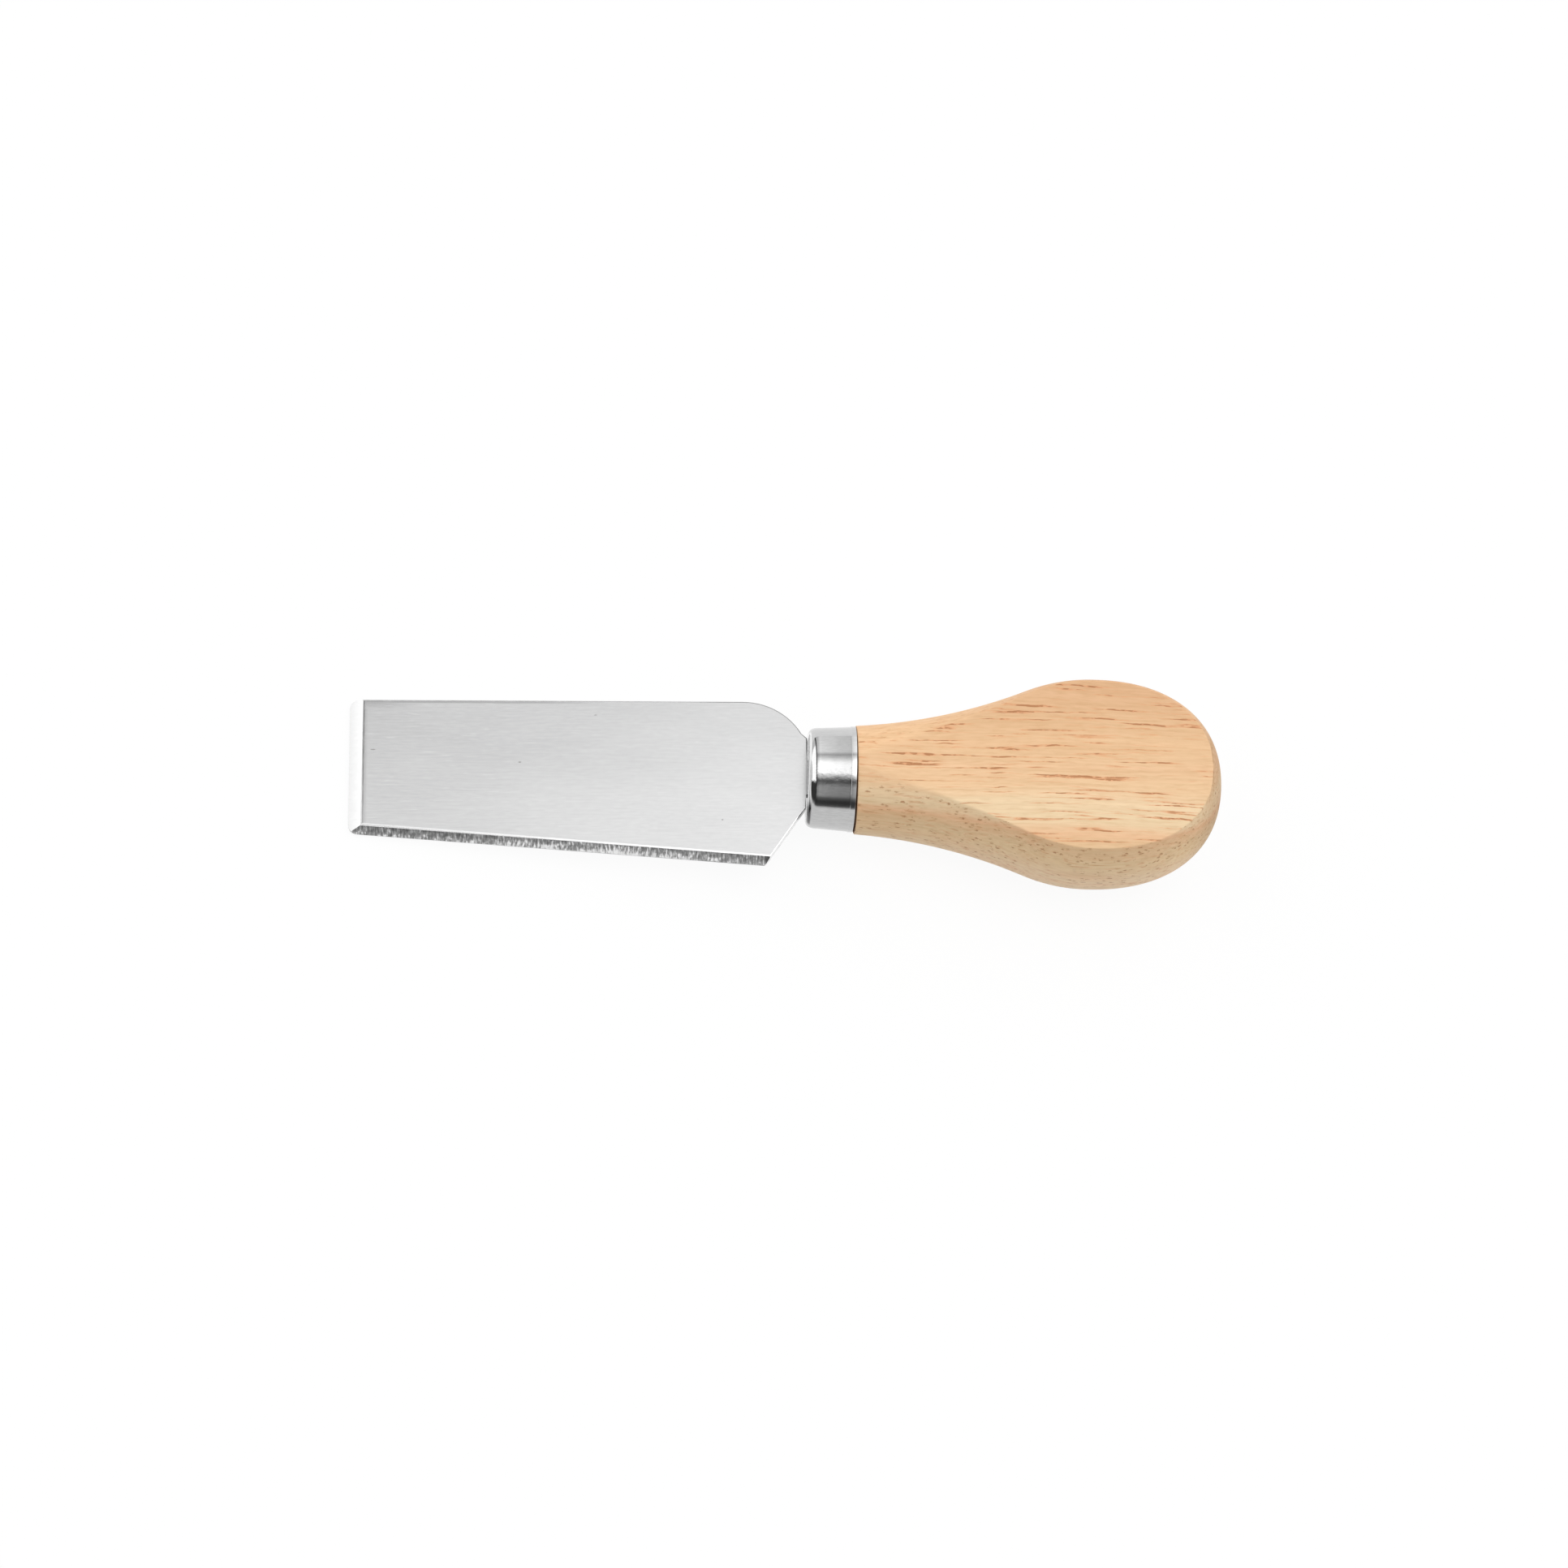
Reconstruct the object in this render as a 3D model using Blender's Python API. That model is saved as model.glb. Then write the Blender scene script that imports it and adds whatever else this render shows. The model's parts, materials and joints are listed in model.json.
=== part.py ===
"""A small cheese knife: a ground steel blade, a drawn steel ferrule and a turned wooden handle.

The knife's own frame has X along the handle's axis, from the blade at -X to the butt at +X, with
X = 0 on the front of the ferrule. Y points from the cutting edge to the spine, and Z is square to
the flats of the handle. An empty carries the pieces and lays the knife down as it comes to rest:
the heavy blade tips forward onto its front edge, and the rim of the handle's neck carries the rest.
"""

import math

import bmesh
import bpy
from mathutils import Vector

# Room left between the pieces
SEAT_GAP = 0.0003            # between faces that seat on each other
SIDE_CLEARANCE = 0.0003      # around what passes through a slot, a bore or a socket

# Blade, stamped from sheet, with its front and lower edges ground from both faces
BLADE_THICKNESS = 0.0015
BLADE_LENGTH = 0.0672        # from the shoulder at the ferrule to the front edge
SPINE_HEIGHT = 0.0121        # spine above the handle's axis
FRONT_WIDTH = 0.02105        # spine to lower edge, measured at the front edge
LOWER_EDGE_FALL = math.radians(4.48)     # the blade widens towards the heel
BLADE_LEAN = math.radians(0.9)           # the blade is set a hair out of line with the handle
FRONT_CORNER_TOP = 0.0012    # radius of the corner of spine and front edge
FRONT_CORNER_BOTTOM = 0.0015  # radius of the corner of front and lower edge

HEEL_RADIUS = 0.0099         # round drop from the spine to the ferrule
ROOT_ABOVE_AXIS = 0.0063     # shoulder height above the axis
ROOT_BELOW_AXIS = 0.00475    # shoulder height below the axis
HEEL_CUT_ANGLE = math.radians(56)        # straight cut from the shoulder down to the lower edge
HEEL_TIP_RADIUS = 0.0004

EDGE_LAND = 0.00012          # thickness left on the cutting edges
FRONT_GRIND = 0.0020         # width of the ground face along the front edge
LOWER_GRIND_FRONT = 0.0014   # width of the ground face along the lower edge, at its front end
LOWER_GRIND_HEEL = 0.0013    # and at its heel end

# Tang, the tongue of the blade that is glued into the handle
TANG_WIDTH = 0.0054
TANG_LENGTH = 0.0300         # from the shoulder
TANG_TAPER_LENGTH = 0.0050
TANG_END_WIDTH = 0.0024
TANG_NOTCH_COUNT = 3         # on each side, to key the glue
TANG_NOTCH_FIRST = 0.0125    # from the shoulder to the first notch
TANG_NOTCH_PITCH = 0.0045
TANG_NOTCH_WIDTH = 0.0016
TANG_NOTCH_DEPTH = 0.0006

# Ferrule, a cup drawn from sheet, with a slot for the tang and a mouth that opens slightly
FERRULE_LENGTH = 0.0068
FERRULE_WALL = 0.0005
FERRULE_FRONT_RADIUS = 0.00735
FERRULE_MOUTH_RADIUS = 0.0078
FERRULE_EDGE_DEPTH = 0.00115  # extent of the drawn edge round the front, across the radius
FERRULE_EDGE_LENGTH = 0.0018  # and along the axis
FERRULE_EDGE_POWER = 2.6     # exponent of the superellipse that it follows
FERRULE_LIP_LENGTH = 0.0008  # slightly raised band at the mouth
FERRULE_LIP_STEP = 0.0002    # length over which the band rises
FERRULE_LIP_HEIGHT = 0.00006
FERRULE_LEAN = math.radians(-0.9)        # it sits a hair out of square on the handle
FERRULE_DRIFT = 0.0001       # and a hair off its axis, towards the spine
SLOT_CORNER_RADIUS = 0.0005

# Handle, turned from a board: the profile is cut by the two flat faces of the board
HANDLE_LENGTH = 0.0544       # from the shoulder behind the ferrule to the butt
NECK_RADIUS = 0.00804        # at the shoulder
NECK_SLOPE = 0.0593          # rise of the profile where it leaves the shoulder
NECK_ARC_RADIUS = 0.0804     # hollow stretch of the profile
BELLY_RADIUS = 0.01557       # the thickest place
BELLY_FROM_SHOULDER = 0.0349
BUTT_POWER = 2.28            # exponent of the superellipse that rounds off the butt
BOARD_THICKNESS = 0.01612    # across the two flats
FLAT_EDGE_RADIUS = 0.0004    # sanded edge between a flat and the turned side
SHOULDER_EDGE_RADIUS = 0.0002
SPIGOT_CHAMFER = 0.0007
BORE_RUN_OUT = 0.0015        # depth drilled beyond the end of the tang
DRILL_POINT_ANGLE = math.radians(118)

# Colours, as (red, green, blue), roughness and metallic value
BLADE_STEEL = ((0.62, 0.62, 0.62), 0.35, 1.0)
FERRULE_STEEL = ((0.68, 0.68, 0.68), 0.15, 1.0)
HANDLE_WOOD = ((0.80, 0.58, 0.38), 0.6, 0.0)

# Fineness of the round surfaces
HEEL_STEPS = 14
CORNER_STEPS = 5
SMALL_EDGE_STEPS = 3
NECK_STEPS = 10
BELLY_STEPS = 8
BUTT_STEPS = 18
SIDE_STEPS = 9               # turned side in a quarter of the handle's section
FLAT_EDGE_STEPS = 2
DRAWN_EDGE_STEPS = 6
FERRULE_STEPS = 72

SHARP_ANGLE = math.radians(32)            # steeper edges than this are left sharp
MERGE_DISTANCE = 1e-7


def clear_scene():
    """Removes whatever the scene already holds."""
    for item in list(bpy.data.objects):
        bpy.data.objects.remove(item, do_unlink=True)


def plain_material(name, look):
    """A Principled material with one colour, roughness and metallic value."""
    colour, roughness, metallic = look
    material = bpy.data.materials.new(name)
    material.use_nodes = True
    shader = material.node_tree.nodes["Principled BSDF"]
    shader.inputs["Base Color"].default_value = (*colour, 1.0)
    shader.inputs["Roughness"].default_value = roughness
    shader.inputs["Metallic"].default_value = metallic
    return material


def object_from(bm, name, material=None):
    """Turns a bmesh into a smooth shaded object whose real edges stay sharp."""
    bmesh.ops.recalc_face_normals(bm, faces=bm.faces)
    mesh = bpy.data.meshes.new(name)
    bm.to_mesh(mesh)
    bm.free()
    mesh.shade_smooth()
    mesh.set_sharp_from_angle(angle=SHARP_ANGLE)
    if material:
        mesh.materials.append(material)
    item = bpy.data.objects.new(name, mesh)
    bpy.context.scene.collection.objects.link(item)
    return item


def arc(centre, radius, start, end, steps):
    """Points on an arc, both ends included. The angles are in radians."""
    points = []
    for i in range(steps + 1):
        angle = start + (end - start) * i / steps
        points.append(Vector((centre[0] + radius * math.cos(angle), centre[1] + radius * math.sin(angle))))
    return points


def rounded_corner(before, corner, after, radius, steps=CORNER_STEPS):
    """Replaces a corner of an outline by an arc that touches both of its sides."""
    to_before = (Vector(before) - Vector(corner)).normalized()
    to_after = (Vector(after) - Vector(corner)).normalized()
    half_angle = to_before.angle(to_after) / 2
    centre = Vector(corner) + (to_before + to_after).normalized() * radius / math.sin(half_angle)
    touch = radius / math.tan(half_angle)
    first = Vector(corner) + to_before * touch - centre
    last = Vector(corner) + to_after * touch - centre
    turn = first.angle_signed(last)
    start = math.atan2(first.y, first.x)
    return arc(centre, radius, start, start - turn, steps)


# Blade

def lower_edge_height(x):
    """Y of the lower cutting edge at a distance along the blade."""
    front_x = -SEAT_GAP - BLADE_LENGTH
    return SPINE_HEIGHT - FRONT_WIDTH - (x - front_x) * math.tan(LOWER_EDGE_FALL)


def tang_side():
    """Upper side of the tang, from the shoulder to its end, with its glue notches."""
    shoulder_x = -SEAT_GAP
    half = TANG_WIDTH / 2
    points = [(shoulder_x, half)]
    for i in range(TANG_NOTCH_COUNT):
        x = shoulder_x + TANG_NOTCH_FIRST + i * TANG_NOTCH_PITCH
        points.append((x - TANG_NOTCH_WIDTH / 2, half))
        points.append((x, half - TANG_NOTCH_DEPTH))
        points.append((x + TANG_NOTCH_WIDTH / 2, half))
    points.append((shoulder_x + TANG_LENGTH - TANG_TAPER_LENGTH, half))
    points.append((shoulder_x + TANG_LENGTH, TANG_END_WIDTH / 2))
    return points


def heel_arc():
    """Round heel, from the spine down to the shoulder. It runs off the spine without a corner."""
    shoulder_x = -SEAT_GAP
    centre_y = SPINE_HEIGHT - HEEL_RADIUS
    rise = ROOT_ABOVE_AXIS - centre_y
    end_angle = math.asin(rise / HEEL_RADIUS)
    centre_x = shoulder_x - HEEL_RADIUS * math.cos(end_angle)
    return arc((centre_x, centre_y), HEEL_RADIUS, math.pi / 2, end_angle, HEEL_STEPS)


def heel_tip():
    """Corner where the straight cut below the shoulder meets the lower cutting edge."""
    shoulder_x = -SEAT_GAP
    cut = math.tan(HEEL_CUT_ANGLE)
    fall = math.tan(LOWER_EDGE_FALL)
    # cut line y = -ROOT_BELOW_AXIS + cut * (x - shoulder_x) against the falling edge
    edge_at_shoulder = lower_edge_height(shoulder_x)
    x = shoulder_x - (-ROOT_BELOW_AXIS - edge_at_shoulder) / (cut + fall)
    return x, lower_edge_height(x)


def blade_outline():
    """Outline of blade and tang, clockwise from the front corner of the spine."""
    shoulder_x = -SEAT_GAP
    front_x = shoulder_x - BLADE_LENGTH
    top_front = (front_x, SPINE_HEIGHT)
    bottom_front = (front_x, lower_edge_height(front_x))
    tip = heel_tip()
    shoulder_low = (shoulder_x, -ROOT_BELOW_AXIS)

    upper_tang = tang_side()
    lower_tang = [(x, -y) for x, y in reversed(upper_tang)]
    heel = heel_arc()

    points = rounded_corner(bottom_front, top_front, heel[0], FRONT_CORNER_TOP)
    points += heel
    points += upper_tang + lower_tang
    points += [shoulder_low]
    points += rounded_corner(shoulder_low, tip, bottom_front, HEEL_TIP_RADIUS)
    points += rounded_corner(tip, bottom_front, top_front, FRONT_CORNER_BOTTOM)
    return points


def grind(bm, on_face_a, on_face_b, on_edge):
    """Grinds one face of the sheet down to the plane through three points, and closes the cut."""
    point = Vector(on_face_a)
    normal = (Vector(on_face_b) - point).cross(Vector(on_edge) - point)
    if normal.z * point.z < 0:
        normal.negate()
    everything = bm.verts[:] + bm.edges[:] + bm.faces[:]
    cut = bmesh.ops.bisect_plane(bm, geom=everything, plane_co=point, plane_no=normal, clear_outer=True)
    rim = [item for item in cut["geom_cut"] if isinstance(item, bmesh.types.BMEdge)]
    bmesh.ops.contextual_create(bm, geom=rim)


def make_blade(material):
    """Blade and tang in one stamping, with both cutting edges ground from both faces."""
    bm = bmesh.new()
    half = BLADE_THICKNESS / 2
    corners = [bm.verts.new((x, y, -half)) for x, y in blade_outline()]
    lower_face = bm.faces.new(corners)
    raised = bmesh.ops.extrude_face_region(bm, geom=[lower_face])
    upper = [item for item in raised["geom"] if isinstance(item, bmesh.types.BMVert)]
    bmesh.ops.translate(bm, verts=upper, vec=(0, 0, BLADE_THICKNESS))
    bmesh.ops.recalc_face_normals(bm, faces=bm.faces)

    front_x = -SEAT_GAP - BLADE_LENGTH
    inner_x = front_x + FRONT_GRIND
    heel_x = heel_tip()[0]
    low_front = lower_edge_height(front_x)
    for side in (1, -1):
        face_z = side * half
        edge_z = side * EDGE_LAND / 2
        grind(bm, (inner_x, 0, face_z), (inner_x, SPINE_HEIGHT, face_z), (front_x, 0, edge_z))
        grind(bm,
              (front_x, low_front + LOWER_GRIND_FRONT, face_z),
              (heel_x, lower_edge_height(heel_x) + LOWER_GRIND_HEEL, face_z),
              (front_x, low_front, edge_z))
    blade = object_from(bm, "blade", material)
    blade.rotation_euler = (0, 0, BLADE_LEAN)
    return blade


# Ferrule

def ferrule_outer_radius(x):
    """Outer radius of the ferrule at a distance behind its front face."""
    taper = (FERRULE_MOUTH_RADIUS - FERRULE_FRONT_RADIUS) / FERRULE_LENGTH
    return FERRULE_FRONT_RADIUS + taper * x


def drawn_edge(inset):
    """Quarter superellipse round the front of the cup, on its outer face or inset by the wall."""
    centre_y = ferrule_outer_radius(FERRULE_EDGE_LENGTH) - FERRULE_EDGE_DEPTH
    power = 2 / FERRULE_EDGE_POWER
    points = []
    for i in range(DRAWN_EDGE_STEPS + 1):
        angle = math.pi / 2 * i / DRAWN_EDGE_STEPS
        along = (FERRULE_EDGE_LENGTH - inset) * abs(math.cos(angle)) ** power
        across = (FERRULE_EDGE_DEPTH - inset) * math.sin(angle) ** power
        points.append(Vector((FERRULE_EDGE_LENGTH - along, centre_y + across)))
    return points


def ferrule_profile():
    """Section of the cup's wall, from the axis at the front, round the mouth and back inside."""
    lip_x = FERRULE_LENGTH - FERRULE_LIP_LENGTH
    mouth = FERRULE_LENGTH
    points = [Vector((0, 0))] + drawn_edge(0)
    band_x = lip_x + FERRULE_LIP_STEP
    points += [Vector((lip_x, ferrule_outer_radius(lip_x)))]
    points += [Vector((band_x, ferrule_outer_radius(band_x) + FERRULE_LIP_HEIGHT))]
    points += [Vector((mouth, FERRULE_MOUTH_RADIUS + FERRULE_LIP_HEIGHT))]
    points += [Vector((mouth, FERRULE_MOUTH_RADIUS - FERRULE_WALL))]
    points += reversed(drawn_edge(FERRULE_WALL))
    points += [Vector((FERRULE_WALL, 0))]
    return points


def slot_cutter():
    """Cutter for the slot that the tang passes through, with rounded corners."""
    length = TANG_WIDTH + 2 * SIDE_CLEARANCE
    width = BLADE_THICKNESS + 2 * SIDE_CLEARANCE
    depth = 4 * FERRULE_WALL          # stands well clear of both faces of the wall
    bm = bmesh.new()
    bmesh.ops.create_cube(bm, size=1.0)
    bmesh.ops.scale(bm, verts=bm.verts, vec=(depth, length, width))
    along_x = [edge for edge in bm.edges if abs(edge.verts[0].co.x - edge.verts[1].co.x) > depth / 2]
    bmesh.ops.bevel(bm, geom=along_x, offset=SLOT_CORNER_RADIUS,
                     segments=SMALL_EDGE_STEPS, profile=0.5, affect="EDGES")
    cutter = object_from(bm, "slot_cutter")
    cutter.hide_render = True
    cutter.display_type = "WIRE"
    return cutter


def make_ferrule(material):
    """Drawn cup with its slot. Its mesh starts at the mouth, on which the cup leans."""
    bm = bmesh.new()
    points = [bm.verts.new((p.x - FERRULE_LENGTH, p.y, 0)) for p in ferrule_profile()]
    edges = [bm.edges.new(pair) for pair in zip(points, points[1:])]
    bmesh.ops.spin(bm, geom=points + edges, cent=(0, 0, 0), axis=(1, 0, 0), angle=2 * math.pi,
                   steps=FERRULE_STEPS, use_merge=True)
    bmesh.ops.remove_doubles(bm, verts=bm.verts, dist=MERGE_DISTANCE)
    ferrule = object_from(bm, "ferrule", material)
    ferrule.location = (FERRULE_LENGTH, FERRULE_DRIFT, 0)
    ferrule.rotation_euler = (0, 0, FERRULE_LEAN)

    cutter = slot_cutter()
    cutter.location = (FERRULE_WALL / 2 - FERRULE_LENGTH, -FERRULE_DRIFT, 0)
    cutter.parent = ferrule
    slot = ferrule.modifiers.new("slot", "BOOLEAN")
    slot.operation = "DIFFERENCE"
    slot.solver = "EXACT"
    slot.object = cutter
    return ferrule


# Handle

def neck_and_belly():
    """Turned profile from the shoulder to the thickest place: a hollow arc and a full one."""
    lean = math.atan(NECK_SLOPE)
    hollow = Vector((-NECK_ARC_RADIUS * math.sin(lean), NECK_RADIUS + NECK_ARC_RADIUS * math.cos(lean)))
    run = BELLY_FROM_SHOULDER - hollow.x
    drop = BELLY_RADIUS - hollow.y
    # radius of the full arc that peaks at the belly and touches the hollow arc
    full_radius = (run ** 2 + drop ** 2 - NECK_ARC_RADIUS ** 2) / (2 * (NECK_ARC_RADIUS + drop))
    full = Vector((BELLY_FROM_SHOULDER, BELLY_RADIUS - full_radius))
    to_full = full - hollow
    meeting = math.atan2(to_full.y, to_full.x)
    points = arc(hollow, NECK_ARC_RADIUS, lean - math.pi / 2, meeting, NECK_STEPS)
    points += arc(full, full_radius, meeting + math.pi, math.pi / 2, BELLY_STEPS)[1:]
    return points


def butt():
    """Turned profile from the thickest place to the end of the handle, a quarter superellipse."""
    length = HANDLE_LENGTH - BELLY_FROM_SHOULDER
    power = 2 / BUTT_POWER
    points = []
    for i in range(1, BUTT_STEPS):
        angle = math.pi / 2 * i / BUTT_STEPS
        x = BELLY_FROM_SHOULDER + length * math.sin(angle) ** power
        points.append(Vector((x, BELLY_RADIUS * math.cos(angle) ** power)))
    points.append(Vector((HANDLE_LENGTH, 0)))
    return points


def with_flat_ends(points):
    """Adds a point wherever the profile passes through the radius at which a flat starts."""
    half = BOARD_THICKNESS / 2
    result = [points[0]]
    for before, after in zip(points, points[1:]):
        if (before.y - half) * (after.y - half) < 0:
            share = (half - before.y) / (after.y - before.y)
            result.append(before.lerp(after, share))
        result.append(after)
    return result


def bore_radius():
    """The round bore clears the corners of the flat tang, which leans in it as the blade does."""
    drift = (TANG_LENGTH - TANG_TAPER_LENGTH) * math.sin(abs(BLADE_LEAN))
    return math.hypot(TANG_WIDTH / 2 + drift, BLADE_THICKNESS / 2) + SIDE_CLEARANCE


def handle_profile():
    """Turned profile from the point of the bore, out over spigot and shoulder, to the butt."""
    shoulder = FERRULE_LENGTH + SEAT_GAP
    spigot_front = FERRULE_WALL + SEAT_GAP - shoulder
    inner_wall = FERRULE_WALL + SIDE_CLEARANCE + FERRULE_DRIFT
    spigot_base = FERRULE_MOUTH_RADIUS - inner_wall
    spigot_nose = ferrule_outer_radius(FERRULE_EDGE_LENGTH) - inner_wall
    bore = bore_radius()
    bore_end = TANG_LENGTH - SEAT_GAP + BORE_RUN_OUT - shoulder
    bore_point = bore_end + bore / math.tan(DRILL_POINT_ANGLE / 2)

    points = [Vector((bore_point, 0)), Vector((bore_end, bore)), Vector((spigot_front, bore))]
    points += [Vector((spigot_front, spigot_nose - SPIGOT_CHAMFER))]
    points += [Vector((spigot_front + SPIGOT_CHAMFER, spigot_nose))]
    points += [Vector((0, spigot_base))]
    turned = neck_and_belly() + butt()
    points += rounded_corner(points[-1], turned[0], turned[1], SHOULDER_EDGE_RADIUS, SMALL_EDGE_STEPS)
    points += with_flat_ends(turned[1:])
    return points


def section(x, radius):
    """One section of the handle: a circle cut by the two flats, with its corners sanded round."""
    flat = BOARD_THICKNESS / 2
    corner = min(FLAT_EDGE_RADIUS, radius)
    centre_z = min(flat, radius) - corner
    centre_y = math.sqrt(max((radius - corner) ** 2 - centre_z ** 2, 0))
    turn = math.atan2(centre_z, centre_y) if centre_y > 0 else math.pi / 2
    quarter = arc((0, 0), radius, 0, turn, SIDE_STEPS)
    quarter += arc((centre_y, centre_z), corner, turn, math.pi / 2, FLAT_EDGE_STEPS)[1:]
    upper = quarter + [Vector((-p.x, p.y)) for p in reversed(quarter)]
    lower = [Vector((-p.x, -p.y)) for p in upper[1:-1]]
    return [(x, p.x, p.y) for p in upper + lower]


def make_handle(material):
    """Handle with its spigot and bore, lofted through the sections of its turned profile."""
    bm = bmesh.new()
    rings = []
    for point in handle_profile():
        rings.append([bm.verts.new(place) for place in section(point.x, point.y)])
    for ring, following in zip(rings, rings[1:]):
        count = len(ring)
        for i in range(count):
            j = (i + 1) % count
            bm.faces.new((ring[i], ring[j], following[j], following[i]))
    bmesh.ops.remove_doubles(bm, verts=bm.verts, dist=MERGE_DISTANCE)
    handle = object_from(bm, "handle", material)
    handle.location = (FERRULE_LENGTH + SEAT_GAP, 0, 0)
    return handle


# Resting place

def resting_tilt():
    """Angle at which the knife lies on the front of its blade and on the rim of its neck."""
    front_contact = SEAT_GAP + BLADE_LENGTH - FRONT_GRIND
    neck_contact = FERRULE_LENGTH + SEAT_GAP
    neck_depth = min(NECK_RADIUS, BOARD_THICKNESS / 2)
    return math.atan2(neck_depth - BLADE_THICKNESS / 2, front_contact + neck_contact)


def corners_of(pieces):
    """Every vertex of the finished pieces, in the world."""
    bpy.context.view_layer.update()
    depsgraph = bpy.context.evaluated_depsgraph_get()
    places = []
    for piece in pieces:
        finished = piece.evaluated_get(depsgraph)
        mesh = finished.to_mesh()
        places += [finished.matrix_world @ vertex.co for vertex in mesh.vertices]
        finished.to_mesh_clear()
    return places


def lay_down(pieces):
    """Carries the pieces on one empty, tilts it and sets the knife down on Z = 0."""
    carrier = bpy.data.objects.new("knife_frame", None)
    bpy.context.scene.collection.objects.link(carrier)
    for piece in pieces:
        piece.parent = carrier
    carrier.rotation_euler = (0, -resting_tilt(), 0)
    places = corners_of(pieces)
    low = [min(place[axis] for place in places) for axis in range(3)]
    high = [max(place[axis] for place in places) for axis in range(3)]
    carrier.location = (-(low[0] + high[0]) / 2, -(low[1] + high[1]) / 2, -low[2])


def main():
    clear_scene()
    blade = make_blade(plain_material("blade_steel", BLADE_STEEL))
    ferrule = make_ferrule(plain_material("ferrule_steel", FERRULE_STEEL))
    handle = make_handle(plain_material("handle_wood", HANDLE_WOOD))
    lay_down([blade, ferrule, handle])


main()
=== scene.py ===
import json
import math

import bmesh
import bpy
from mathutils import Matrix, Vector


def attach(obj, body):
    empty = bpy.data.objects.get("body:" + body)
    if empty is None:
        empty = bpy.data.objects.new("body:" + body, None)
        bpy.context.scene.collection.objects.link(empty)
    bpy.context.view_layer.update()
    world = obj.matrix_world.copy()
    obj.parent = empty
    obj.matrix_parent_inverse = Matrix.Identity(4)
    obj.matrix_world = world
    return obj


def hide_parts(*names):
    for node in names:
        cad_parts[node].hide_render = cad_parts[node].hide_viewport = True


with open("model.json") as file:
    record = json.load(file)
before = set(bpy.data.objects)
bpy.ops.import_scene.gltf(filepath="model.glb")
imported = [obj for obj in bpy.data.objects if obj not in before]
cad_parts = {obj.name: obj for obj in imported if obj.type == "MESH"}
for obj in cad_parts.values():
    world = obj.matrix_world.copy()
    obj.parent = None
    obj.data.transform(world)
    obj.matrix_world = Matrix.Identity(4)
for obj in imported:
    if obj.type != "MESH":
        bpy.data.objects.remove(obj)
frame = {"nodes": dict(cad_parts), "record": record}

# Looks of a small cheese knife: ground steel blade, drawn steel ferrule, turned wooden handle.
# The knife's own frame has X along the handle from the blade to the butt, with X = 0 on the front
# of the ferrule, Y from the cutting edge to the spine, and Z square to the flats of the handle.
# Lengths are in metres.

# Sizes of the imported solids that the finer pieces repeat
SEAT_GAP = 0.0003
SIDE_CLEARANCE = 0.0003
BLADE_THICKNESS = 0.0015
BLADE_LENGTH = 0.0672
BLADE_LEAN = math.radians(0.9)
SPINE_HEIGHT = 0.0121
FRONT_WIDTH = 0.02105
LOWER_EDGE_FALL = math.radians(4.48)
FRONT_GRIND = 0.0020
LOWER_GRIND_FRONT = 0.0014
LOWER_GRIND_HEEL = 0.0013
LOWER_GRIND_RUN = 0.0620     # from the front edge to the heel's lower corner
TANG_WIDTH = 0.0054
TANG_LENGTH = 0.0300
TANG_TAPER_LENGTH = 0.0050
FERRULE_LENGTH = 0.0068
FERRULE_WALL = 0.0005
FERRULE_FRONT_RADIUS = 0.00735
FERRULE_MOUTH_RADIUS = 0.0078
FERRULE_EDGE_DEPTH = 0.00115
FERRULE_EDGE_LENGTH = 0.0018
FERRULE_EDGE_POWER = 2.6
FERRULE_LIP_LENGTH = 0.0008
FERRULE_LIP_STEP = 0.0002
FERRULE_LIP_HEIGHT = 0.00006
FERRULE_LEAN = math.radians(-0.9)
FERRULE_DRIFT = 0.0001
SLOT_CORNER_RADIUS = 0.0005
HANDLE_LENGTH = 0.0544
NECK_RADIUS = 0.00804
NECK_SLOPE = 0.0593
NECK_ARC_RADIUS = 0.0804
BELLY_RADIUS = 0.01557
BELLY_FROM_SHOULDER = 0.0349
BUTT_POWER = 2.28
BOARD_THICKNESS = 0.01612
SHOULDER_EDGE_RADIUS = 0.0002
SPIGOT_CHAMFER = 0.0007
BORE_RUN_OUT = 0.0015
DRILL_POINT_ANGLE = math.radians(118)

# Finer forms, which the solids leave out or keep plainer
RIM_ROUND = 0.00018          # rounding of the tumbled edges of the sheet
RIDGE_ROUND = 0.00022        # rounding where the ground faces meet the side
SEATED_GAP = 0.00007         # room left where the blade's shoulder seats on the ferrule
LIP_SLOPE = math.radians(7)  # of the gentle run before the lip's rise
LIP_BEND = 1.25              # where the raised band begins, in steps of the lip
MOUTH_ROUND = 0.00006        # rounding of the ferrule's mouth
MOUTH_REACH = 0.00018        # how far the mouth reaches into the joint that the solids leave open
FLAT_EDGE_RADIUS = 0.0003    # sanded edge of a flat at the belly
FLAT_EDGE_MOST = 0.003       # and the widest that it gets at the neck

# Fineness of the round surfaces
NECK_STEPS = 44
BELLY_STEPS = 32
BUTT_STEPS = 64
SIDE_STEPS = 26              # turned side in a quarter of the handle's section
FLAT_EDGE_STEPS = 5
FERRULE_STEPS = 240
FERRULE_EDGE_STEPS = 20
LIP_STEPS = 8
SHOULDER_EDGE_STEPS = 5
SLOT_CORNER_STEPS = 6
RIM_STEPS = 3
RIDGE_STEPS = 4
SHARP_ANGLE = math.radians(32)
MERGE_DISTANCE = 1e-7
WELD_DISTANCE = 0.000002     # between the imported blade's corners that are one corner
LEVEL_ANGLE = math.radians(0.4)          # between packed faces that are one face
PLACE_TOLERANCE = 0.00001

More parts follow.
